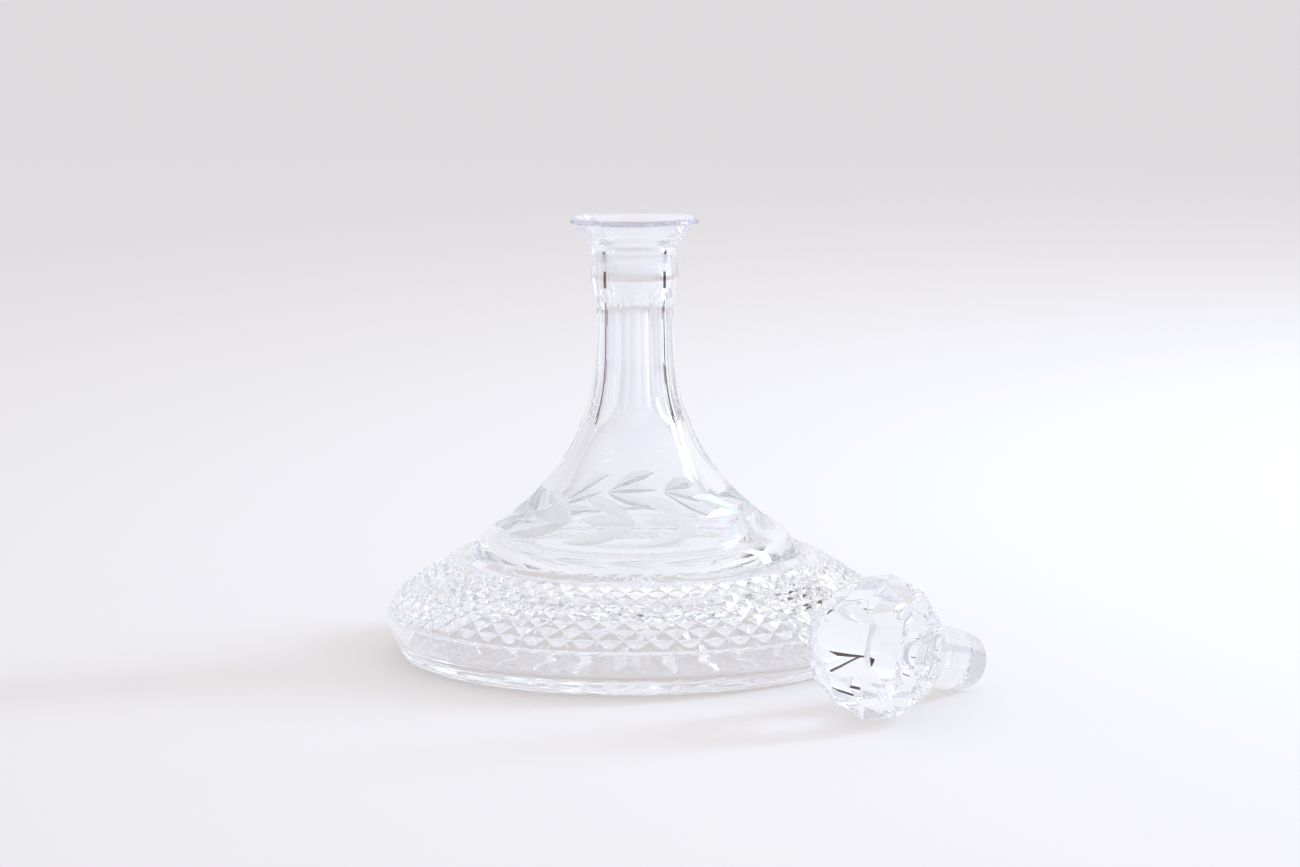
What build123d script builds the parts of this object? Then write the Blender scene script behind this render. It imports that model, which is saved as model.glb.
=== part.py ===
"""Ship's decanter of clear cut crystal, open, with its faceted ball stopper lying beside it.

Two solid pieces of glass: the decanter, a wide low vessel with a fluted neck, and the stopper.
Units are millimetres and +Z is up. The origin is the centre of the foot ring on the table plane,
and the neck's axis is Z.
"""

import os
from math import cos, radians, sin

from build123d import *

# ---------------------------------------------------------------- the decanter's outside
BELLY_RADIUS = 105.0
BELLY_HEIGHT = 16.0  # height of the widest place
FOOT_RADIUS = 95.2  # outside of the ring that stands on the table
FOOT_RING_WIDTH = 9.0
FOOT_RECESS = 3.0  # how far the underside rises inside the ring
FOOT_RECESS_HALFWAY = 2.25  # the same, midway between the axis and the ring
FOOT_GROOVE_HEIGHT = 4.6  # a fine groove between the foot and the side
FOOT_GROOVE_RADIUS = 99.8
FOOT_GROOVE_HALF_WIDTH = 0.7
FOOT_GROOVE_DEPTH = 0.5

# places on the outline, as radius and height, from the table up
FOOT_EDGE = (97.6, 1.1)
LOWER_SIDE = (104.2, 11.5)
BAND = ((102.6, 24.4), (93.6, 32.2), (75.8, 42.7))  # under the diamond cutting
LEDGE = (71.6, 44.2)
STEP_NOTCH = (69.2, 43.0)
SHOULDER = (
    (67.6, 44.4),
    (65.0, 50.0),
    (57.2, 56.0),
    (49.4, 62.0),
    (41.0, 70.0),
    (31.4, 82.0),
    (24.7, 94.0),
    (20.6, 106.5),
    (18.1, 122.0),
    (17.3, 134.0),
    (17.2, 146.0),
)
COLLAR = (18.4, 161.0)
LIP_ROOT = (18.5, 172.0)  # where the collar flares out into the lip
LIP_EDGE = (26.85, 182.2)
LIP_BEND = (26.3, 183.95)
LIP_CREST_RADIUS = 25.25
TOTAL_HEIGHT = 184.5
MOUTH_RADIUS = 24.6  # inside edge of the lip

# directions of the outline, as steps outwards and upwards
OUTWARD = (1, 0)
UPRIGHT = (0, 1)
FOOT_START = (1, 0.1)
FOOT_END = (0.6, 1)
SIDE_START = (0.45, 1)
BAND_END = (-1, 0.52)
LIP_FLARE = (1, 0.75)

FLUTES = 8
# the bed of a flute, midway across it
FLUTE_BED = (
    (23.6, 98.0),
    (19.4, 106.5),
    (16.95, 122.0),
    (15.95, 140.0),
    (16.05, 148.5),
    (16.8, 152.5),
    (18.9, 156.8),
)
FLUTE_REACH = 40.0  # size of the cutting tool

# ---------------------------------------------------------------- the decanter's hollow
FLOOR_THICKNESS = 7.0
HOLLOW_RADIUS = 99.4
HOLLOW_CORNER = 92.0  # radius where the flat floor starts to curve up
HOLLOW_WIDEST_HEIGHT = 17.0
ROOF = (
    (94.6, 24.8),
    (83.2, 31.6),
    (66.4, 40.2),
    (53.2, 51.2),
    (37.1, 65.3),
    (27.0, 77.4),
    (19.1, 92.0),
    (14.3, 106.0),
)
BORE_RADIUS = 12.0
BORE_BOTTOM = 124.0
SOCKET_BOTTOM = 162.0  # the ground socket for the stopper
SOCKET_TOP = 172.0
JOINT_SLOPE = 0.05  # radius gained per unit of height in the ground joint
SOCKET_TOP_RADIUS = BORE_RADIUS + (SOCKET_TOP - SOCKET_BOTTOM) * JOINT_SLOPE
FUNNEL = (16.0, 177.0)
FUNNEL_START = (0.3, 1)
FUNNEL_FLARE = (1, 0.55)

# ---------------------------------------------------------------- the stopper
BALL_RADIUS = 28.8  # sphere that the ball's corners lie on
FACETS_AROUND = 12
RING_LATITUDES = (61.0, 30.0, 3.0, -50.0)  # degrees, from the crown's point down
THROAT_RADIUS = 14.2  # corners of the last ring, where the ball meets the plug
THROAT_DROP = 30.0  # below the ball's centre
PLUG_ROOT = 15.0  # where the plug starts inside the ball, below its centre
PLUG_LENGTH = 68.7  # from the ball's centre to the plug's end
PLUG_COLLAR_RADIUS = 12.9
GROUND_LENGTH = 14.0
JOINT_CLEARANCE = 0.06  # radial, with the stopper home in its socket
COLLAR_CHAMFER = 0.3
PLUG_CHAMFER = 0.8
REST_X = 94.7  # where the ball's centre lies
REST_Y = -138.5
HEADING = 57.0  # direction of the plug over the table, degrees from +X
ROLL = 9.8  # turn about the stopper's own axis, degrees
LEAST_TILT = 5.0  # limits of its tilt as it lies, degrees
MOST_TILT = 30.0
TILT_TOLERANCE = 1e-9

# ================================================================ decanter
FOOT_INNER = FOOT_RADIUS - FOOT_RING_WIDTH

# one flute's cutting tool: its inner face follows the neck and runs out of the glass at both ends
with BuildPart() as flute_tool:
    with BuildSketch(Plane.XZ):
        with BuildLine():
            bed = Spline(*FLUTE_BED)
            Polyline(
                bed @ 1,
                (FLUTE_REACH, FLUTE_BED[-1][1]),
                (FLUTE_REACH, FLUTE_BED[0][1]),
                bed @ 0,
            )
        make_face()
    extrude(amount=FLUTE_REACH / 2, both=True)

with BuildPart() as decanter_body:
    with BuildSketch(Plane.XZ):
        with BuildLine():
            underside = ThreePointArc(
                (0, FOOT_RECESS),
                (FOOT_INNER / 2, FOOT_RECESS_HALFWAY),
                (FOOT_INNER, 0),
            )
            ring = Line(underside @ 1, (FOOT_RADIUS, 0))
            foot = Spline(
                ring @ 1,
                FOOT_EDGE,
                (
                    FOOT_GROOVE_RADIUS + FOOT_GROOVE_DEPTH,
                    FOOT_GROOVE_HEIGHT - FOOT_GROOVE_HALF_WIDTH,
                ),
                tangents=(FOOT_START, FOOT_END),
            )
            groove = Polyline(
                foot @ 1,
                (FOOT_GROOVE_RADIUS, FOOT_GROOVE_HEIGHT),
                (
                    FOOT_GROOVE_RADIUS + 2 * FOOT_GROOVE_DEPTH,
                    FOOT_GROOVE_HEIGHT + FOOT_GROOVE_HALF_WIDTH,
                ),
            )
            side = Spline(
                groove @ 1,
                LOWER_SIDE,
                (BELLY_RADIUS, BELLY_HEIGHT),
                tangents=(SIDE_START, UPRIGHT),
            )
            diamond_band = Spline(side @ 1, *BAND, tangents=(UPRIGHT, BAND_END))
            Polyline(diamond_band @ 1, LEDGE, STEP_NOTCH, SHOULDER[0])
            shoulder = Spline(*SHOULDER)
            collar = Spline(
                shoulder @ 1,
                COLLAR,
                LIP_ROOT,
                LIP_EDGE,
                tangents=(UPRIGHT, LIP_FLARE),
            )
            lip = ThreePointArc(collar @ 1, LIP_BEND, (LIP_CREST_RADIUS, TOTAL_HEIGHT))
            rim = Line(lip @ 1, (0, TOTAL_HEIGHT))
            Line(rim @ 1, underside @ 0)
        make_face()
    revolve(axis=Axis.Z)

    # the hollow, from the floor up to the bore
    with BuildSketch(Plane.XZ):
        with BuildLine():
            floor = Line((0, FLOOR_THICKNESS), (HOLLOW_CORNER, FLOOR_THICKNESS))
            corner = Spline(
                floor @ 1,
                (HOLLOW_RADIUS, HOLLOW_WIDEST_HEIGHT),
                tangents=(OUTWARD, UPRIGHT),
            )
            roof = Spline(corner @ 1, *ROOF, (BORE_RADIUS, BORE_BOTTOM))
            bore = Line(roof @ 1, (BORE_RADIUS, SOCKET_BOTTOM))
            socket = Line(bore @ 1, (SOCKET_TOP_RADIUS, SOCKET_TOP))
            funnel = Spline(
                socket @ 1,
                FUNNEL,
                (MOUTH_RADIUS, TOTAL_HEIGHT),
                tangents=(FUNNEL_START, FUNNEL_FLARE),
            )
            mouth = Line(funnel @ 1, (0, TOTAL_HEIGHT))
            Line(mouth @ 1, floor @ 0)
        make_face()
    revolve(axis=Axis.Z, mode=Mode.SUBTRACT)

    # flutes ground flat across the neck, one facing the front
    with PolarLocations(0, FLUTES, start_angle=-90):
        add(flute_tool.part, mode=Mode.SUBTRACT)
decanter_body.part.label = "decanter_body"

# ================================================================ stopper
GROUND_TOP_RADIUS = SOCKET_TOP_RADIUS - JOINT_CLEARANCE
PLUG_END_RADIUS = GROUND_TOP_RADIUS - GROUND_LENGTH * JOINT_SLOPE


def corner_ring(radius, height, turn):
    """Corners of one ring of the ball, about the stopper's own axis."""
    angles = [radians(ROLL + turn + 360 / FACETS_AROUND * i) for i in range(FACETS_AROUND)]
    return [(radius * cos(a), radius * sin(a), height) for a in angles]


def lowest(points, tilt):
    """Height of the lowest point when the stopper's plug end is tilted down towards the table."""
    return min(y * cos(tilt) + z * sin(tilt) for _, y, z in points)


# neighbouring rings are staggered by half a facet
HALF_FACET = 180 / FACETS_AROUND
rings = [
    corner_ring(
        BALL_RADIUS * cos(radians(latitude)),
        BALL_RADIUS * sin(radians(latitude)),
        HALF_FACET * ((index + 1) % 2),
    )
    for index, latitude in enumerate(RING_LATITUDES)
]
throat_ring = corner_ring(THROAT_RADIUS, -THROAT_DROP, 0)
crown_point = (0, 0, BALL_RADIUS)

# lying on the table, the stopper touches it with a corner of the ball and the rim of the plug
plug_rim = [
    (0, -PLUG_END_RADIUS, PLUG_CHAMFER - PLUG_LENGTH),
    (0, PLUG_CHAMFER - PLUG_END_RADIUS, -PLUG_LENGTH),
]
ball_corners = [corner for ring in rings for corner in ring]
low, high = radians(LEAST_TILT), radians(MOST_TILT)
while high - low > TILT_TOLERANCE:
    middle = (low + high) / 2
    if lowest(plug_rim, middle) > lowest(ball_corners, middle):
        low = middle
    else:
        high = middle
tilt = low
heading = radians(HEADING)
lying = Plane(
    origin=(REST_X, REST_Y, -lowest(ball_corners, tilt)),
    x_dir=(sin(heading), -cos(heading), 0),
    z_dir=(-cos(tilt) * cos(heading), -cos(tilt) * sin(heading), sin(tilt)),
)
lying_section = Plane(origin=lying.origin, x_dir=lying.x_dir, z_dir=-lying.y_dir)


def facet(*corners):
    """A flat facet through corners given about the stopper's own axis."""
    return Face(Wire.make_polygon([lying.from_local_coords(Vector(*c)) for c in corners]))


facets = [facet(*throat_ring)]
for i in range(FACETS_AROUND):
    following = (i + 1) % FACETS_AROUND
    facets.append(facet(crown_point, rings[0][i], rings[0][following]))
    facets.append(facet(rings[-1][i], rings[-1][following], throat_ring[following], throat_ring[i]))
for index, (upper, under) in enumerate(zip(rings, rings[1:])):
    for i in range(FACETS_AROUND):
        following = (i + 1) % FACETS_AROUND
        if index % 2 == 0:
            facets.append(facet(upper[i], upper[following], under[following]))
            facets.append(facet(under[i], under[following], upper[i]))
        else:
            facets.append(facet(upper[i], upper[following], under[i]))
            facets.append(facet(under[i], under[following], upper[following]))
faceted_ball = Solid(Shell(facets))

with BuildPart() as stopper:
    add(faceted_ball)
    with BuildSketch(lying_section):
        with BuildLine():
            Polyline(
                (0, -PLUG_ROOT),
                (PLUG_COLLAR_RADIUS, -PLUG_ROOT),
                (PLUG_COLLAR_RADIUS, GROUND_LENGTH - PLUG_LENGTH + COLLAR_CHAMFER),
                (PLUG_COLLAR_RADIUS - COLLAR_CHAMFER, GROUND_LENGTH - PLUG_LENGTH),
                (GROUND_TOP_RADIUS, GROUND_LENGTH - PLUG_LENGTH),
                (PLUG_END_RADIUS, PLUG_CHAMFER - PLUG_LENGTH),
                (PLUG_END_RADIUS - PLUG_CHAMFER, -PLUG_LENGTH),
                (0, -PLUG_LENGTH),
                close=True,
            )
        make_face()
    revolve(axis=Axis(lying.origin, lying.z_dir))
stopper.part.label = "stopper"

os.makedirs("parts", exist_ok=True)
for piece in (decanter_body, stopper):
    export_step(piece.part, f"parts/{piece.part.label}.step")
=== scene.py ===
"""The looks of a cut-crystal ship's decanter and its stopper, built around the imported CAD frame.

Shapes are worked out in millimetres and turned into metres when a mesh is made.
"""

from math import cos, pi, radians, sin

import bmesh
import bpy
import numpy as np
from mathutils import Matrix, Vector


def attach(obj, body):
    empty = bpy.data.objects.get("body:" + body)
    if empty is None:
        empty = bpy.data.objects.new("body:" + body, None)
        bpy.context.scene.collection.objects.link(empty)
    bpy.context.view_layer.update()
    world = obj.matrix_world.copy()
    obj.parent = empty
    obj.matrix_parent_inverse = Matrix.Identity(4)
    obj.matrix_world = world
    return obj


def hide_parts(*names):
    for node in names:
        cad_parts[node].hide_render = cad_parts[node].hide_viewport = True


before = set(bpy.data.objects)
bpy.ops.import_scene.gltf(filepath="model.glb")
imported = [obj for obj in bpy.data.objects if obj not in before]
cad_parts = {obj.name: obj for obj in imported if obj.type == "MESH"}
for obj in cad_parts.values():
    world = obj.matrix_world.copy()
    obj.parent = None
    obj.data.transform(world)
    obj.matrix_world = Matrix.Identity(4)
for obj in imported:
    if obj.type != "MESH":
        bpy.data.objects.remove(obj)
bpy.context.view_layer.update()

MM = 0.001  # metres in a millimetre

# ---------------------------------------------------------------- the camera
CAMERA_DISTANCE = 1.65  # metres
CAMERA_HEIGHT = 0.31674
CAMERA_TURN = 0.003708  # radians to the right
CAMERA_DIP = 0.134764  # radians below the horizon
CAMERA_TILT = -0.004518  # radians about the line of sight
LENS_MM = 109.44
SENSOR_MM = 36.0

# ---------------------------------------------------------------- the decanter's outline, (radius, height)
BAND_COLUMNS = 480  # points around the diamond band
COLUMNS = 240  # points around everything else
UNDERSIDE = [(0.0, 3.0), (43.1, 2.25), (86.2, 0.0)]
FOOT = [(95.2, 0.0), (98.0, 0.8), (99.6, 2.2), (100.3, 3.8)]
FOOT_GROOVE = [(100.05, 4.5), (100.75, 5.2)]
SIDE = [(100.8, 5.3), (102.5, 8.4), (104.2, 11.5), (105.0, 16.0)]
BAND = [(105.0, 16.0), (104.6, 20.0), (102.6, 24.4), (99.0, 28.3), (93.6, 32.2), (85.0, 37.8), (75.8, 42.7)]
STEP = [(75.8, 42.7), (71.6, 44.2), (69.2, 43.0), (67.6, 44.4)]
SHOULDER = [
    (67.6, 44.4), (65.0, 50.0), (57.2, 56.0), (49.4, 62.0), (41.0, 70.0), (31.4, 82.0), (24.7, 94.0),
    (20.6, 106.5), (18.1, 122.0), (17.3, 134.0), (17.2, 146.0), (17.7, 153.0), (18.4, 161.0),
    (17.9, 168.0), (18.5, 172.0),
]
LIP = [(18.5, 172.0), (20.6, 176.0), (23.6, 179.4), (26.85, 182.2)]
RIM = [(26.85, 182.2), (26.9, 183.2), (26.3, 184.0), (25.3, 184.5)]
FUNNEL = [(24.6, 184.45), (19.9, 181.0), (16.0, 177.0), (13.1, 173.5), (12.5, 172.0)]
SOCKET = [(12.5, 172.0), (12.0, 162.0)]
BORE = [(12.0, 161.5), (12.0, 124.0)]
ROOF = [
    (12.0, 124.0), (14.3, 106.0), (19.1, 92.0), (27.0, 77.4), (37.1, 65.3), (53.2, 51.2), (66.4, 40.2),
    (83.2, 31.6), (94.6, 24.8), (99.4, 17.0),
]
CORNER = [(99.4, 17.0), (99.0, 12.0), (97.0, 8.6), (92.0, 7.0)]
FLOOR_HEIGHT = CORNER[-1][1]
FLOOR_RADII = np.arange(84.0, 4.0, -10.0)


def spline(points, step):
    """A natural cubic spline through points, sampled about every step."""
    p = np.array(points, float)
    s = np.concatenate([[0], np.cumsum(np.hypot(*np.diff(p, axis=0).T))])
    n = len(p)
    h = np.diff(s)
    a = np.eye(n)
    b = np.zeros((n, 2))
    for i in range(1, n - 1):
        a[i, i - 1 : i + 2] = h[i - 1], 2 * (h[i - 1] + h[i]), h[i]
        b[i] = 6 * ((p[i + 1] - p[i]) / h[i] - (p[i] - p[i - 1]) / h[i - 1])
    m = np.linalg.solve(a, b)
    t = np.linspace(0, s[-1], max(2, round(s[-1] / step) + 1))
    k = np.clip(np.searchsorted(s, t, side="right") - 1, 0, n - 2)
    x, y, w = t - s[k], s[k + 1] - t, h[k]
    return (
        (m[k] * (y**3)[:, None] + m[k + 1] * (x**3)[:, None]) / (6 * w)[:, None]
        + (p[k] / w[:, None] - m[k] * (w / 6)[:, None]) * y[:, None]
        + (p[k + 1] / w[:, None] - m[k + 1] * (w / 6)[:, None]) * x[:, None]
    )


def polyline(points, step):
    """Straight runs through points, each divided about every step."""
    rows = [np.array(points[:1], float)]
    for a, b in zip(points, points[1:]):
        count = max(1, round(float(np.hypot(b[0] - a[0], b[1] - a[1])) / step))
        rows.append(np.linspace(a, b, count + 1)[1:])
    return np.concatenate(rows)


class Surface:
    """Vertices and faces of one closed piece, made ring by ring about Z."""

    def __init__(self):
        self.verts = []
        self.faces = []

    def ring(self, radii, heights, columns):
        """Adds one ring of points, from the front round by the right, and returns their numbers."""
        first = len(self.verts)
        turn = np.arange(columns) * 2 * pi / columns - pi / 2
        radii = np.broadcast_to(radii, columns)
        heights = np.broadcast_to(heights, columns)
        self.verts += list(zip(radii * np.cos(turn), radii * np.sin(turn), heights))
        return list(range(first, first + columns))

    def pole(self, height):
        """Adds one point on the axis and returns its number as a ring of one."""
        self.verts.append((0.0, 0.0, height))
        return [len(self.verts) - 1]

    def bridge(self, a, b, split=None):
        """Joins two rings that are equal, or one twice as fine, or one a pole.

        Between equal rings split(column) names a quad's diagonal, 1 or -1, or 0 to leave it whole.
        """
        n, m = len(a), len(b)
        if m == 1:
            self.faces += [(a[i], a[(i + 1) % n], b[0]) for i in range(n)]
        elif n == 1:
            self.faces += [(b[(i + 1) % m], b[i], a[0]) for i in range(m)]
        elif n == m:
            for i in range(n):
                j = (i + 1) % n
                diagonal = split(i) if split else 0
                if diagonal == 1:
                    self.faces += [(a[i], a[j], b[j]), (a[i], b[j], b[i])]
                elif diagonal == -1:
                    self.faces += [(a[i], a[j], b[i]), (a[j], b[j], b[i])]
                else:
                    self.faces.append((a[i], a[j], b[j], b[i]))
        else:
            wide, narrow = (a, b) if n > m else (b, a)
            for i, corner in enumerate(narrow):
                j = (i + 1) % len(narrow)
                middle, end = wide[2 * i + 1], wide[(2 * i + 2) % len(wide)]
                self.faces += [
                    (wide[2 * i], middle, corner), (middle, narrow[j], corner), (middle, end, narrow[j]),
                ]

    def rows(self, start, points, columns):
        """Carries the surface on through more rings and returns the last."""
        for r, z in points:
            following = self.ring(r, z, columns)
            self.bridge(start, following)
            start = following
        return start

    def mesh(self, name):
        made = bpy.data.meshes.new(name)
        made.from_pydata([tuple(c * MM for c in v) for v in self.verts], [], self.faces)
        made.update()
        return made


# ---------------------------------------------------------------- the diamond band
DIAMONDS_AROUND = 60
CELLS = BAND_COLUMNS // DIAMONDS_AROUND // 2  # grid cells in half a diamond
DIAMOND_ROWS = 8  # half diamonds from the bottom of the band to its top
DIAMOND_BOTTOM = 19.4  # heights
DIAMOND_TOP = 41.6
DIAMOND_DEPTH = 0.15  # share of a diamond's width
DIAMOND_RUN_IN = 0.35  # share of the full depth that the band's edges start with
BAND_PLAIN_GAP = 0.4  # least height between the last plain ring and the first diamond


def band_rows():
    """The band's rings, spaced so that its grooves cross at right angles all the way up."""
    fine = spline(BAND, step=0.05)
    fine = fine[(fine[:, 1] >= DIAMOND_BOTTOM) & (fine[:, 1] <= DIAMOND_TOP)]
    arc = np.hypot(*np.diff(fine, axis=0).T)
    turn = np.concatenate([[0], np.cumsum(arc / fine[1:, 0])])
    wanted = np.linspace(0, turn[-1], DIAMOND_ROWS * CELLS + 1)
    r = np.interp(wanted, turn, fine[:, 0])
    z = np.interp(wanted, turn, fine[:, 1])
    slope = np.stack([np.gradient(r), np.gradient(z)], -1)
    slope /= np.hypot(*slope.T)[:, None]
    return r, z, slope


def add_diamonds(surface, start):
    """Carries the surface up the band, with its crossing grooves, and returns the last ring."""
    r, z, slope = band_rows()
    period = 2 * CELLS
    column = np.arange(BAND_COLUMNS)
    last = DIAMOND_ROWS * CELLS
    for q in range(last + 1):
        a = ((column + q) % period) / period - 0.5
        b = ((column - q) % period) / period - 0.5
        fade = min(1.0, q / CELLS + DIAMOND_RUN_IN, (last - q) / CELLS + DIAMOND_RUN_IN)
        depth = 2 * np.maximum(abs(a), abs(b)) * DIAMOND_DEPTH * 2 * pi * r[q] / DIAMONDS_AROUND
        depth = depth * fade if 0 < q < last else depth * 0
        following = surface.ring(r[q] - depth * slope[q, 1], z[q] + depth * slope[q, 0], BAND_COLUMNS)

        def split(i, q=q):
            if (i + q) % period == 0:
                return -1
            return 1 if (i - q + 1) % period == 0 else 0

        surface.bridge(start, following, split)
        start = following
    return start


# ---------------------------------------------------------------- the decanter's surface
def decanter_surface():
    """The vessel with its diamonds, up the outside and down the inside, before the wheels cut it."""
    surface = Surface()
    at = surface.pole(UNDERSIDE[0][1])
    at = surface.rows(at, spline(UNDERSIDE, step=4.0)[1:], COLUMNS)
    at = surface.rows(at, polyline([UNDERSIDE[-1], FOOT[0]], step=4.0)[1:], COLUMNS)
    at = surface.rows(at, spline(FOOT, step=0.35)[1:], COLUMNS)
    at = surface.rows(at, FOOT_GROOVE, COLUMNS)
    at = surface.rows(at, spline(SIDE, step=1.4)[1:], COLUMNS)
    band = spline(BAND, step=1.0)
    plain_band = band[(band[:, 1] > BAND[0][1]) & (band[:, 1] < DIAMOND_BOTTOM - BAND_PLAIN_GAP)]
    at = surface.rows(at, plain_band[:-1], COLUMNS)
    at = surface.rows(at, plain_band[-1:], BAND_COLUMNS)
    at = add_diamonds(surface, at)
    ledge = polyline(STEP, step=1.0)
    at = surface.rows(at, ledge[:1], BAND_COLUMNS)
    at = surface.rows(at, ledge[1:], COLUMNS)
    at = surface.rows(at, spline(SHOULDER, step=1.3)[1:], COLUMNS)
    at = surface.rows(at, spline(LIP, step=0.6)[1:], COLUMNS)
    at = surface.rows(at, spline(RIM, step=0.2)[1:], COLUMNS)
    at = surface.rows(at, spline(FUNNEL, step=0.8), COLUMNS)
    at = surface.rows(at, polyline(SOCKET, step=2.0)[1:], COLUMNS)
    at = surface.rows(at, polyline(BORE, step=4.0), COLUMNS)
    at = surface.rows(at, spline(ROOF, step=2.2)[1:], COLUMNS)
    at = surface.rows(at, spline(CORNER, step=1.2)[1:], COLUMNS)
    at = surface.rows(at, [(r, FLOOR_HEIGHT) for r in FLOOR_RADII], COLUMNS)
    surface.bridge(at, surface.pole(FLOOR_HEIGHT))
    return surface


# ---------------------------------------------------------------- where the plain surfaces are
SHOULDER_OUTLINE = spline(SHOULDER, step=0.2)
BAND_OUTLINE = spline(BAND, step=0.2)


def radius_at(outline, z):
    return np.interp(z, outline[:, 1], outline[:, 0])


def underside_at(r):
    """Height of the hollowed underside at a radius."""
    return float(np.interp(r, *zip(*UNDERSIDE)))


def on_shoulder(turn, z):
    """A point of the shoulder at a height, and the way its surface faces."""
    r = radius_at(SHOULDER_OUTLINE, z)
    rise = 0.3
    slope = radius_at(SHOULDER_OUTLINE, z + rise) - radius_at(SHOULDER_OUTLINE, z - rise)
    normal = Vector((sin(turn) * 2 * rise, -cos(turn) * 2 * rise, -slope)).normalized()
    return Vector((r * sin(turn), -r * cos(turn), z)), normal


# ---------------------------------------------------------------- cuts made by wheels
# cutters that touch one another go in different sets, which are cut one after the other
def mitre(path, depths, flank, lift, surface):
    """Adds a V-edged cutter along path, a list of (point, normal), as deep as depths say."""
    first = len(surface.verts)
    points = [p for p, _ in path]
    for i, (p, normal) in enumerate(path):
        along = points[min(i + 1, len(path) - 1)] - points[max(i - 1, 0)]
        across = along.cross(normal).normalized()
        half = (depths[i] + lift) * flank
        surface.verts.append(tuple(p - normal * depths[i]))
        surface.verts.append(tuple(p + normal * lift + across * half))
        surface.verts.append(tuple(p + normal * lift - across * half))
    for i in range(len(path) - 1):
        a, b = first + 3 * i, first + 3 * i + 3
        for j, k in ((0, 1), (1, 2), (2, 0)):
            surface.faces.append((a + j, a + k, b + k, b + j))
    surface.faces.append((first + 2, first + 1, first))
    end = first + 3 * len(path) - 3
    surface.faces.append((end, end + 1, end + 2))


LEAF_NODES = 11
NODE_TURN = radians(1.2)  # where the wreath's front node is
NODE_HEIGHT = 62.5
LEAF_DEPTH = 0.85
LEAF_FLANK = 3.8  # a cut's half width over its depth
LEAF_LIFT = 0.35  # how far the cutter stands out of the glass
LEAF_STATIONS = 33  # points along a leaf
LEAF_RUN_OUT = 0.075  # how far the cutter goes on past each tip, as a share of the leaf
LEAF_GAP = 0.03  # between the node and the leaf's root, as a share of its turn
# each leaf of a node: turn in degrees and height of its tip from the node, and how far it bows
LEAVES = [(-31.5, 8.2, 1.6), (-30.5, 0.4, 0.5), (-33.0, -7.6, -1.6)]


def leaf_cutters(tip_turn, tip_rise, bow):
    """One leaf of every node, in three sets because the nodes are odd in number."""
    sets = [Surface(), Surface(), Surface()]
    along = np.linspace(-LEAF_RUN_OUT, 1 + LEAF_RUN_OUT, LEAF_STATIONS)
    depths = LEAF_DEPTH * (1 - (2 * along - 1) ** 2)
    for node in range(LEAF_NODES):
        turn = NODE_TURN + node * 2 * pi / LEAF_NODES
        path = [
            on_shoulder(
                turn + radians(tip_turn) * (LEAF_GAP + (1 - LEAF_GAP) * s),
                NODE_HEIGHT + tip_rise * s + bow * 4 * s * (1 - s),
            )
            for s in along
        ]
        mitre(path, depths, LEAF_FLANK, LEAF_LIFT, sets[2 if node == LEAF_NODES - 1 else node % 2])
    return sets


FLUTES = 8
FLUTE_BED = [
    (23.8, 97.6), (21.3, 101.6), (19.3, 106.8), (16.95, 122.0), (15.95, 140.0), (16.05, 148.5),
    (16.8, 152.5), (18.9, 156.8),
]
FLUTE_HALF_WIDTH = 12.0
FLUTE_HOLLOW = 45.0  # radius across the flute
FLUTE_SINK = 0.25  # how far the middle of a flute lies inside its bed
FLUTE_ACROSS = 13  # points across a flute
FLUTE_OUT = 34.0  # the cutter's outer face, clear of the glass


def flute_cutters():
    """Eight cutters whose inner faces are the flutes, slightly hollow across, in two sets."""
    sets = [Surface(), Surface()]
    bed = spline(FLUTE_BED, step=1.0)
    side = np.linspace(-FLUTE_HALF_WIDTH, FLUTE_HALF_WIDTH, FLUTE_ACROSS)
    for k in range(FLUTES):
        cutters = sets[k % 2]
        turn = 2 * pi * k / FLUTES
        out, over = np.array([sin(turn), -cos(turn)]), np.array([cos(turn), sin(turn)])
        first = len(cutters.verts)
        width = FLUTE_ACROSS + 2
        for r, z in bed:
            section = [(FLUTE_OUT, -FLUTE_HALF_WIDTH)]
            section += [(r - FLUTE_SINK + s * s / (2 * FLUTE_HOLLOW), s) for s in side]
            section += [(FLUTE_OUT, FLUTE_HALF_WIDTH)]
            for x, y in section:
                cutters.verts.append((*(out * x + over * y), z))
        for i in range(len(bed) - 1):
            for j in range(width):
                a, b = first + i * width + j, first + i * width + (j + 1) % width
                cutters.faces.append((a, b, b + width, a + width))
        cutters.faces.append(tuple(range(first + width - 1, first - 1, -1)))
        end = first + (len(bed) - 1) * width
        cutters.faces.append(tuple(range(end, end + width)))
    return sets


STAR_POINTS = 24
STAR_TURN = radians(-4.0)
STAR_INNER = 2.0  # radii between which its points run
STAR_OUTER = 77.0
STAR_DEPTH = 3.0
STAR_WIDEST = 0.72  # where a point is widest, as a share of its length
STAR_FLANK = 1.9
STAR_LIFT = 0.8
STAR_STATIONS = 27
STAR_RUN_OUT = 0.02  # the same for the star as LEAF_RUN_OUT


def star_cutters():
    """The star under the foot: mitre cuts from its middle outwards, in two sets."""
    sets = [Surface(), Surface()]
    along = np.linspace(-STAR_RUN_OUT, 1 + STAR_RUN_OUT, STAR_STATIONS)
    swell = np.where(along < STAR_WIDEST, along / STAR_WIDEST, (1 - along) / (1 - STAR_WIDEST))
    depths = STAR_DEPTH * np.sin(swell * pi / 2)
    for k in range(STAR_POINTS):
        turn = STAR_TURN + 2 * pi * k / STAR_POINTS
        path = []
        for s in along:
            r = STAR_INNER + (STAR_OUTER - STAR_INNER) * s
            path.append((Vector((r * sin(turn), -r * cos(turn), underside_at(r))), Vector((0, 0, -1))))
        mitre(path, depths, STAR_FLANK, STAR_LIFT, sets[k % 2])
    return sets


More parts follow.
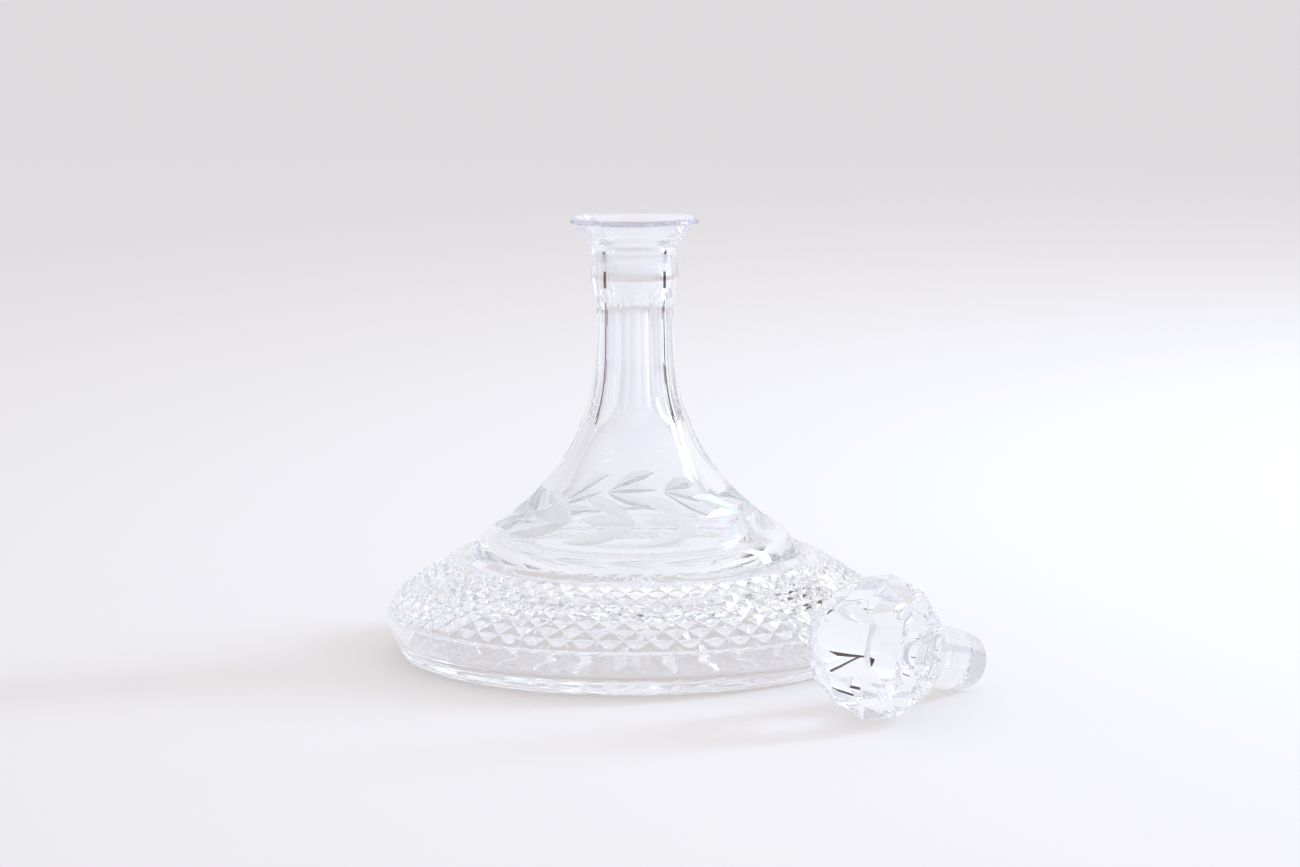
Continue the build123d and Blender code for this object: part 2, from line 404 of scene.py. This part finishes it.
def clean_normals(mesh):
    """Turns every face outwards."""
    bm = bmesh.new()
    bm.from_mesh(mesh)
    bmesh.ops.recalc_face_normals(bm, faces=bm.faces)
    bm.to_mesh(mesh)
    bm.free()


def new_piece(surface, name):
    mesh = surface.mesh(name)
    clean_normals(mesh)
    piece = bpy.data.objects.new(name, mesh)
    bpy.context.scene.collection.objects.link(piece)
    return piece


def combine(piece, surface, operation):
    """Takes a closed tool away from a piece, or joins it on."""
    tool = new_piece(surface, "tool")
    change = piece.modifiers.new("tool", "BOOLEAN")
    change.operation = operation
    change.solver = "MANIFOLD"
    change.object = tool
    shown = piece.evaluated_get(bpy.context.evaluated_depsgraph_get())
    made = bpy.data.meshes.new_from_object(shown)
    piece.modifiers.clear()
    old = piece.data
    piece.data = made
    bpy.data.meshes.remove(old)
    bpy.data.objects.remove(tool)


def finish_faces(piece, finish):
    """Gives every face the material that finish(face, centre, radius) names."""
    piece.data.materials.clear()
    for material in FINISHES:
        piece.data.materials.append(material)
    for face in piece.data.polygons:
        centre = face.center / MM
        face.material_index = FINISHES.index(finish(face, centre, centre.xy.length))


def shade(piece, angle):
    """Smooth shading, with edges sharper than angle and the edges of each finish left crisp."""
    mesh = piece.data
    mesh.shade_smooth()
    mesh.set_sharp_from_angle(angle=radians(angle))
    meeting = {}
    for face in mesh.polygons:
        for edge in face.edge_keys:
            meeting.setdefault(edge, set()).add(face.material_index)
    sharp = mesh.attributes["sharp_edge"]
    for edge in mesh.edges:
        if len(meeting[edge.key]) > 1:
            sharp.data[edge.index].value = True


# ---------------------------------------------------------------- materials
CRYSTAL_IOR = 1.545
# painted light: the floor shines though it is no lamp, in a pool of light that is brightest at one place
# and fades away; it is warm so that the shade beside the glass looks warm, and it lightens the shade under
# the glass
PAINTED_POOL_PLACE = (0.5, 0.2)  # where the painted pool of light on the floor is brightest, metres
PAINTED_POOL_STRETCH = 0.5  # the painted pool of light is longer from front to back
PAINTED_POOL_REACH = (0.1, 1.45)  # it fades between these distances
PAINTED_POOL_COLOUR = (0.955, 0.882, 0.836)


def new_material(name):
    made = bpy.data.materials.new(name)
    made.use_nodes = True
    made.node_tree.nodes.clear()
    return made, made.node_tree.nodes, made.node_tree.links


def surface_detail(nodes, links, shader, scale, detail, roughness, bump):
    """Noise that wanders between two roughnesses and ripples the surface; bump is (strength, height)."""
    place = nodes.new("ShaderNodeTexCoord")
    noise = nodes.new("ShaderNodeTexNoise")
    noise.inputs["Scale"].default_value = scale
    noise.inputs["Detail"].default_value = detail
    links.new(place.outputs["Object"], noise.inputs["Vector"])
    ramp = nodes.new("ShaderNodeMapRange")
    ramp.inputs["To Min"].default_value, ramp.inputs["To Max"].default_value = roughness
    links.new(noise.outputs["Fac"], ramp.inputs["Value"])
    links.new(ramp.outputs["Result"], shader.inputs["Roughness"])
    ripple = nodes.new("ShaderNodeBump")
    ripple.inputs["Strength"].default_value = bump[0]
    ripple.inputs["Distance"].default_value = bump[1]
    links.new(noise.outputs["Fac"], ripple.inputs["Height"])
    links.new(ripple.outputs["Normal"], shader.inputs["Normal"])


def crystal(name, colour):
    """Polished clear glass."""
    made, nodes, links = new_material(name)
    shader = nodes.new("ShaderNodeBsdfPrincipled")
    shader.inputs["Base Color"].default_value = (*colour, 1)
    shader.inputs["Transmission Weight"].default_value = 1.0
    shader.inputs["IOR"].default_value = CRYSTAL_IOR
    surface_detail(
        nodes, links, shader, scale=38.0, detail=2.0, roughness=(0.0, 0.012), bump=(0.12, 0.0004)
    )
    out = nodes.new("ShaderNodeOutputMaterial")
    links.new(shader.outputs[0], out.inputs[0])
    return made


def ground_glass(name, clearness, grain, roughness, bump):
    """Glass that a wheel has left rough; clearness under 1 makes it milky."""
    made, nodes, links = new_material(name)
    shader = nodes.new("ShaderNodeBsdfPrincipled")
    shader.inputs["Base Color"].default_value = (1, 1, 1, 1)
    shader.inputs["Transmission Weight"].default_value = clearness
    shader.distribution = "MULTI_GGX"
    shader.inputs["IOR"].default_value = CRYSTAL_IOR
    surface_detail(nodes, links, shader, scale=grain, detail=3.0, roughness=roughness, bump=bump)
    out = nodes.new("ShaderNodeOutputMaterial")
    links.new(shader.outputs[0], out.inputs[0])
    return made


def plain(name, colour, roughness, painted_light=None):
    """An even surface; painted_light makes it shine with painted light, strongest round one place and
    fading away from it.
    """
    made, nodes, links = new_material(name)
    shader = nodes.new("ShaderNodeBsdfPrincipled")
    shader.inputs["Base Color"].default_value = (*colour, 1)
    shader.inputs["Roughness"].default_value = roughness
    shader.inputs["Specular IOR Level"].default_value = 0.0
    # painted light: emission that fades with distance from one place, a painted pool of light
    if painted_light:
        place = nodes.new("ShaderNodeTexCoord")
        away = nodes.new("ShaderNodeVectorMath")
        away.operation = "MULTIPLY_ADD"
        links.new(place.outputs["Object"], away.inputs[0])
        away.inputs[1].default_value = (1, PAINTED_POOL_STRETCH, 1)
        away.inputs[2].default_value = (-PAINTED_POOL_PLACE[0], -PAINTED_POOL_PLACE[1] * PAINTED_POOL_STRETCH, 0)
        length = nodes.new("ShaderNodeVectorMath")
        length.operation = "LENGTH"
        links.new(away.outputs[0], length.inputs[0])
        fade = nodes.new("ShaderNodeMapRange")
        fade.interpolation_type = "SMOOTHSTEP"
        fade.inputs["From Min"].default_value, fade.inputs["From Max"].default_value = PAINTED_POOL_REACH
        fade.inputs["To Min"].default_value, fade.inputs["To Max"].default_value = painted_light
        links.new(length.outputs["Value"], fade.inputs["Value"])
        links.new(fade.outputs["Result"], shader.inputs["Emission Strength"])
        shader.inputs["Emission Color"].default_value = (*PAINTED_POOL_COLOUR, 1)
    out = nodes.new("ShaderNodeOutputMaterial")
    links.new(shader.outputs[0], out.inputs[0])
    return made


CRYSTAL = crystal("crystal", (0.98, 0.981, 0.998))
# painted shade: darker lavender glass on the rim, painting the dark line that reflections draw along it
RIM_PAINTED_SHADE = crystal("rim_painted_shade", (0.70, 0.71, 0.85))
GROUND = ground_glass(
    "ground_crystal", clearness=1.0, grain=900.0, roughness=(0.16, 0.34), bump=(0.5, 0.00005)
)
CUT = ground_glass(
    "cut_crystal", clearness=1.0, grain=900.0, roughness=(0.03, 0.10), bump=(0.15, 0.00003)
)
LEAF = ground_glass(
    "leaf_crystal", clearness=0.92, grain=150.0, roughness=(0.28, 0.42), bump=(0.1, 0.00002)
)
FINISHES = [CRYSTAL, GROUND, CUT, LEAF, RIM_PAINTED_SHADE]


# ---------------------------------------------------------------- the decanter
GROUND_TOP = 171.0  # the socket is ground up to about here
GROUND_RADIUS = 12.6  # just outside the socket
WREATH = (50.0, 76.0)  # heights that the leaves lie between
LEAF_LEAN = 6.0  # least angle between a leaf's sides and the shoulder, degrees
BAND_SKIN = 2.5  # how far inside the plain outline a cut face of the band may lie
LEAF_SKIN = 2.0  # the same for a leaf
STAR_CLEAR = 0.06  # how far above the plain underside the star's faces start
STAR_TOP = 8.0  # above the star's cuts and the vessel's floor over them, which is finished alike
STAR_MARGIN = 1.0  # how far past its points that finish goes
SHARP_CUT = 15.0  # degrees


def in_diamonds(centre, r):
    return DIAMOND_BOTTOM < centre.z < DIAMOND_TOP and r > radius_at(BAND_OUTLINE, centre.z) - BAND_SKIN


def in_star(centre, r):
    return r < STAR_OUTER + STAR_MARGIN and underside_at(r) + STAR_CLEAR < centre.z < STAR_TOP


def in_leaf(face, centre, r):
    """A face that leans away from the turned shoulder within the wreath's height."""
    if not WREATH[0] < centre.z < WREATH[1] or r < radius_at(SHOULDER_OUTLINE, centre.z) - LEAF_SKIN:
        return False
    uncut = on_shoulder(0.0, centre.z)[1]
    plain_side = Vector((face.center.x, face.center.y, 0)).normalized() * -uncut.y
    plain_side.z = uncut.z
    return face.normal.dot(plain_side) < cos(radians(LEAF_LEAN))


def decanter_finish(face, centre, r):
    if SOCKET[-1][1] < centre.z < GROUND_TOP and r < GROUND_RADIUS:
        return GROUND
    if in_diamonds(centre, r) or in_star(centre, r):
        return CUT
    if in_leaf(face, centre, r):
        return LEAF
    # painted shade: the rim's outer faces take the darker tinted glass
    if centre.z > RIM[0][1] and r > RIM[-1][0]:
        return RIM_PAINTED_SHADE
    return CRYSTAL


def make_decanter():
    piece = new_piece(decanter_surface(), "decanter_glass")
    wheels = [*flute_cutters(), *star_cutters()]
    for leaf in LEAVES:
        wheels += leaf_cutters(*leaf)
    for wheel in wheels:
        combine(piece, wheel, "DIFFERENCE")
    finish_faces(piece, decanter_finish)
    shade(piece, SHARP_CUT)
    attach(piece, "decanter")
    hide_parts("decanter_body")


# ---------------------------------------------------------------- the stopper
BALL_RADIUS = 28.8  # sphere that the ball's corners lie on
FACETS = 12  # facets around the ball
LATITUDES = (61.0, 30.0, 3.0, -50.0)  # of its rings of corners, degrees
THROAT_RADIUS = 14.2  # corners of the ring where the ball meets the plug
THROAT_DROP = 30.0  # below the ball's centre
PLUG_LENGTH = 68.7  # from the ball's centre
COLLAR_RADIUS = 12.9
COLLAR_STEP = (0.3, 0.05, 0.35)  # chamfer under the collar: inwards, lower and upper edge
GROUND_LENGTH = 14.0
PLUG_RADIUS = 11.74  # at its end
GROUND_TOP_RADIUS = 12.44  # where the ground part meets the collar
PLUG_CHAMFER = 0.8
PLUG_COLUMNS = 120
FROSTED_BOTTOM = -62.2  # the plug is ground from here up to its collar
FROSTED_RADIUS = 10.5  # faces nearer the axis than this stay polished
REST = (94.7, -138.5)  # where the ball's centre lies over the table
HEADING = radians(57.0)  # of the plug, from +X
ROLL = 9.8  # turn about the stopper's own axis, degrees
TILT_LIMITS = (radians(5), radians(30))
TILT_HALVINGS = 40
SHARP_FACET = 10.0  # degrees


def ball_surface():
    """The faceted ball about its own axis, its plug side down."""
    ball = Surface()
    rings = []
    for index, latitude in enumerate(LATITUDES):
        turn = ROLL + 180 / FACETS * ((index + 1) % 2)
        r, z = BALL_RADIUS * cos(radians(latitude)), BALL_RADIUS * sin(radians(latitude))
        first = len(ball.verts)
        for i in range(FACETS):
            a = radians(turn + 360 / FACETS * i)
            ball.verts.append((r * cos(a), r * sin(a), z))
        rings.append(list(range(first, first + FACETS)))
    first = len(ball.verts)
    for i in range(FACETS):
        a = radians(ROLL + 360 / FACETS * i)
        ball.verts.append((THROAT_RADIUS * cos(a), THROAT_RADIUS * sin(a), -THROAT_DROP))
    throat = list(range(first, first + FACETS))
    crown = len(ball.verts)
    ball.verts.append((0.0, 0.0, BALL_RADIUS))
    ball.faces.append(tuple(reversed(throat)))
    for index, (upper, under) in enumerate(zip(rings, rings[1:])):
        for i in range(FACETS):
            j = (i + 1) % FACETS
            if index % 2 == 1:
                ball.faces += [(upper[i], upper[j], under[i]), (under[i], under[j], upper[j])]
            else:
                ball.faces += [(upper[i], upper[j], under[j]), (under[i], under[j], upper[i])]
    for i in range(FACETS):
        j = (i + 1) % FACETS
        ball.faces.append((crown, rings[0][i], rings[0][j]))
        ball.faces.append((rings[-1][i], rings[-1][j], throat[j], throat[i]))
    return ball


def plug_surface():
    """The round plug, from its end up into the ball."""
    end, ground_top, root = -PLUG_LENGTH, GROUND_LENGTH - PLUG_LENGTH, -THROAT_DROP / 2
    inwards, lower, upper = COLLAR_STEP
    outline = [
        *polyline([(0, end), (PLUG_RADIUS - PLUG_CHAMFER, end)], step=2.0)[1:],
        *polyline([(PLUG_RADIUS, end + PLUG_CHAMFER), (GROUND_TOP_RADIUS, ground_top)], step=1.5),
        (COLLAR_RADIUS - inwards, ground_top + lower),
        *polyline([(COLLAR_RADIUS, ground_top + upper), (COLLAR_RADIUS, root)], step=3.0),
    ]
    plug = Surface()
    at = plug.rows(plug.pole(end), outline, PLUG_COLUMNS)
    plug.bridge(at, plug.pole(root))
    return plug


def lowest(points, tilt):
    """Height of the lowest of some points of a stopper lying at a tilt, from the ball's centre."""
    return min(y * cos(tilt) + z * sin(tilt) for _, y, z in points)


def lying_place(ball):
    """The stopper's place on the table, on a corner of its ball and the rim of its plug."""
    rim = [(0, -PLUG_RADIUS, PLUG_CHAMFER - PLUG_LENGTH), (0, PLUG_CHAMFER - PLUG_RADIUS, -PLUG_LENGTH)]
    corners = ball.verts[: FACETS * len(LATITUDES)]
    low, high = TILT_LIMITS
    for _ in range(TILT_HALVINGS):
        tilt = (low + high) / 2
        if lowest(rim, tilt) > lowest(corners, tilt):
            low = tilt
        else:
            high = tilt
    z = Vector((-cos(tilt) * cos(HEADING), -cos(tilt) * sin(HEADING), sin(tilt)))
    x = Vector((sin(HEADING), -cos(HEADING), 0))
    y = z.cross(x)
    place = Matrix((x, y, z)).transposed().to_4x4()
    place.translation = Vector((*REST, -lowest(corners, tilt))) * MM
    return place


def stopper_finish(face, centre, r):
    if FROSTED_BOTTOM < centre.z < GROUND_LENGTH - PLUG_LENGTH and r > FROSTED_RADIUS:
        return GROUND
    return CRYSTAL


def make_stopper():
    ball = ball_surface()
    piece = new_piece(ball, "stopper_glass")
    combine(piece, plug_surface(), "UNION")
    finish_faces(piece, stopper_finish)
    piece.data.transform(lying_place(ball))
    shade(piece, SHARP_FACET)
    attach(piece, "stopper")
    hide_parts("stopper")


# ---------------------------------------------------------------- stage, light and camera
FLOOR_RINGS = (300.0, 1000.0, 3000.0, 9000.0, 30000.0)  # radii
FLOOR_SIDES = 64
FLOOR_GAP = 0.0002  # the floor lies this far under the foot, metres
FLOOR_COLOUR = (0.42, 0.415, 0.43)
FLOOR_PAINTED_LIGHT = (0.5, 0.38)  # strength of the painted light at the bright place and far from it
MATT = 0.8  # roughness of the floor and the cards
CARD_HEIGHT = 1.0  # of a card's flat part over the table
# cards out of the camera's sight that the crystal bends into streaks: turn from straight behind and
# half width, degrees; near and far edge; height of the upright part at the far edge; colour
CARDS = [
    ("card_right", 62.0, 7.0, 620.0, 2100.0, 600.0, (0.05, 0.034, 0.025)),
    ("card_left", -62.0, 7.0, 620.0, 2100.0, 300.0, (0.16, 0.09, 0.04)),
    ("card_right_edge", 92.0, 18.0, 1100.0, 2300.0, 100.0, (0.09, 0.055, 0.035)),
    ("card_left_edge", -88.0, 12.0, 950.0, 2100.0, 100.0, (0.16, 0.15, 0.30)),
]
LEFT_WALL = (0.72, 0.71, 0.77)
# what else the crystal sees: a direction, the cosines from it where the region starts and is full, a colour
STUDIO = [
    ((1, 0.35, 0.2), -0.9, 0.9, (0.95, 0.95, 0.99)),  # the right side
    ((0, -1, 0.05), 0.2, 0.95, (0.60, 0.59, 0.71)),  # behind the camera
    ((0.2, 0.1, 1), 0.4, 0.95, (1.04, 1.04, 1.08)),  # overhead
    ((0.48, 0.66, 0.57), 0.985, 0.994, (0.09, 0.05, 0.03)),  # a small dark patch high behind the object
]
WINDOW_PLACE = (1.55, 0.5, 0.75)  # metres, like its target and size
WINDOW_TARGET = (0, 0, 0.05)
WINDOW_SIZE = (0.3, 0.9)
WINDOW_POWER = 29.0
WINDOW_COLOUR = (0.52, 0.8, 1.0)
BOUNCES = 64  # enough to see through both walls of the vessel and the stopper


def make_floor():
    floor = Surface()
    at = floor.pole(0.0)
    for r in FLOOR_RINGS:
        following = floor.ring(r, 0.0, FLOOR_SIDES)
        floor.bridge(at, following)
        at = following
    obj = bpy.data.objects.new("floor", floor.mesh("floor"))
    bpy.context.scene.collection.objects.link(obj)
    # the floor carries the painted pool of light
    obj.data.materials.append(plain("pale_floor", FLOOR_COLOUR, MATT, FLOOR_PAINTED_LIGHT))
    obj.location.z = -FLOOR_GAP


def make_card(name, turn, half_turn, near, far, top, colour):
    card = Surface()
    sides = [radians(turn - half_turn), radians(turn + half_turn)]
    for r, z in ((near, CARD_HEIGHT), (far, CARD_HEIGHT), (far, top)):
        card.verts += [(r * sin(a), r * cos(a), z) for a in sides]
    card.faces += [(0, 1, 3, 2), (2, 3, 5, 4)]
    obj = bpy.data.objects.new(name, card.mesh(name))
    bpy.context.scene.collection.objects.link(obj)
    obj.data.materials.append(plain(name, colour, MATT))
    obj.visible_camera = False
    obj.visible_diffuse = False
    obj.visible_shadow = False


def window_light():
    lamp = bpy.data.lights.new("window", "AREA")
    lamp.shape = "RECTANGLE"
    lamp.size, lamp.size_y = WINDOW_SIZE
    lamp.energy = WINDOW_POWER
    lamp.color = WINDOW_COLOUR
    obj = bpy.data.objects.new("window", lamp)
    obj.location = WINDOW_PLACE
    obj.rotation_euler = (Vector(WINDOW_TARGET) - Vector(WINDOW_PLACE)).to_track_quat("-Z", "Y").to_euler()
    bpy.context.scene.collection.objects.link(obj)


def make_light():
    """A bright studio all round, and one window."""
    world = bpy.data.worlds.new("studio")
    bpy.context.scene.world = world
    world.use_nodes = True
    nodes, links = world.node_tree.nodes, world.node_tree.links
    nodes.clear()

    def node(kind, **values):
        made = nodes.new("ShaderNode" + kind)
        for key, value in values.items():
            setattr(made, key, value)
        return made

    def facing(direction, start, full):
        """Rises from 0 to 1 as the view turns towards a direction, between two cosines."""
        dot = node("VectorMath", operation="DOT_PRODUCT")
        links.new(direct.outputs["Generated"], dot.inputs[0])
        dot.inputs[1].default_value = Vector(direction).normalized()
        ramp = node("MapRange", interpolation_type="SMOOTHSTEP")
        links.new(dot.outputs["Value"], ramp.inputs["Value"])
        ramp.inputs["From Min"].default_value = start
        ramp.inputs["From Max"].default_value = full
        return ramp.outputs["Result"]

    def blend(factor, first, second):
        mix = node("MixRGB")
        links.new(factor, mix.inputs[0])
        for socket, value in zip(mix.inputs[1:3], (first, second)):
            if isinstance(value, tuple):
                socket.default_value = (*value, 1)
            else:
                links.new(value, socket)
        return mix.outputs[0]

    direct = node("TexCoord")
    room = LEFT_WALL
    for direction, start, full, colour in STUDIO:
        room = blend(facing(direction, start, full), room, colour)
    back = node("Background")
    links.new(room, back.inputs[0])
    back.inputs[1].default_value = 1.0
    out = node("OutputWorld")
    links.new(back.outputs[0], out.inputs[0])
    window_light()


def make_camera():
    data = bpy.data.cameras.new("camera")
    data.lens = LENS_MM
    data.sensor_width = SENSOR_MM
    data.dof.use_dof = False
    camera = bpy.data.objects.new("camera", data)
    bpy.context.scene.collection.objects.link(camera)
    turn, dip, tilt = CAMERA_TURN, CAMERA_DIP, CAMERA_TILT
    right = Vector((cos(turn), -sin(turn), 0))
    ahead = Vector((sin(turn) * cos(dip), cos(turn) * cos(dip), -sin(dip)))
    up = right.cross(ahead)
    x = right * cos(tilt) + up * sin(tilt)
    y = up * cos(tilt) - right * sin(tilt)
    place = Matrix((x, y, -ahead)).transposed().to_4x4()
    place.translation = Vector((0, -CAMERA_DISTANCE, CAMERA_HEIGHT))
    camera.matrix_world = place
    bpy.context.scene.camera = camera


make_camera()
make_floor()
for card in CARDS:
    make_card(*card)
make_light()
make_decanter()
make_stopper()

scene = bpy.context.scene
scene.view_settings.view_transform = "Standard"
scene.cycles.max_bounces = BOUNCES
scene.cycles.transmission_bounces = BOUNCES
scene.cycles.glossy_bounces = BOUNCES
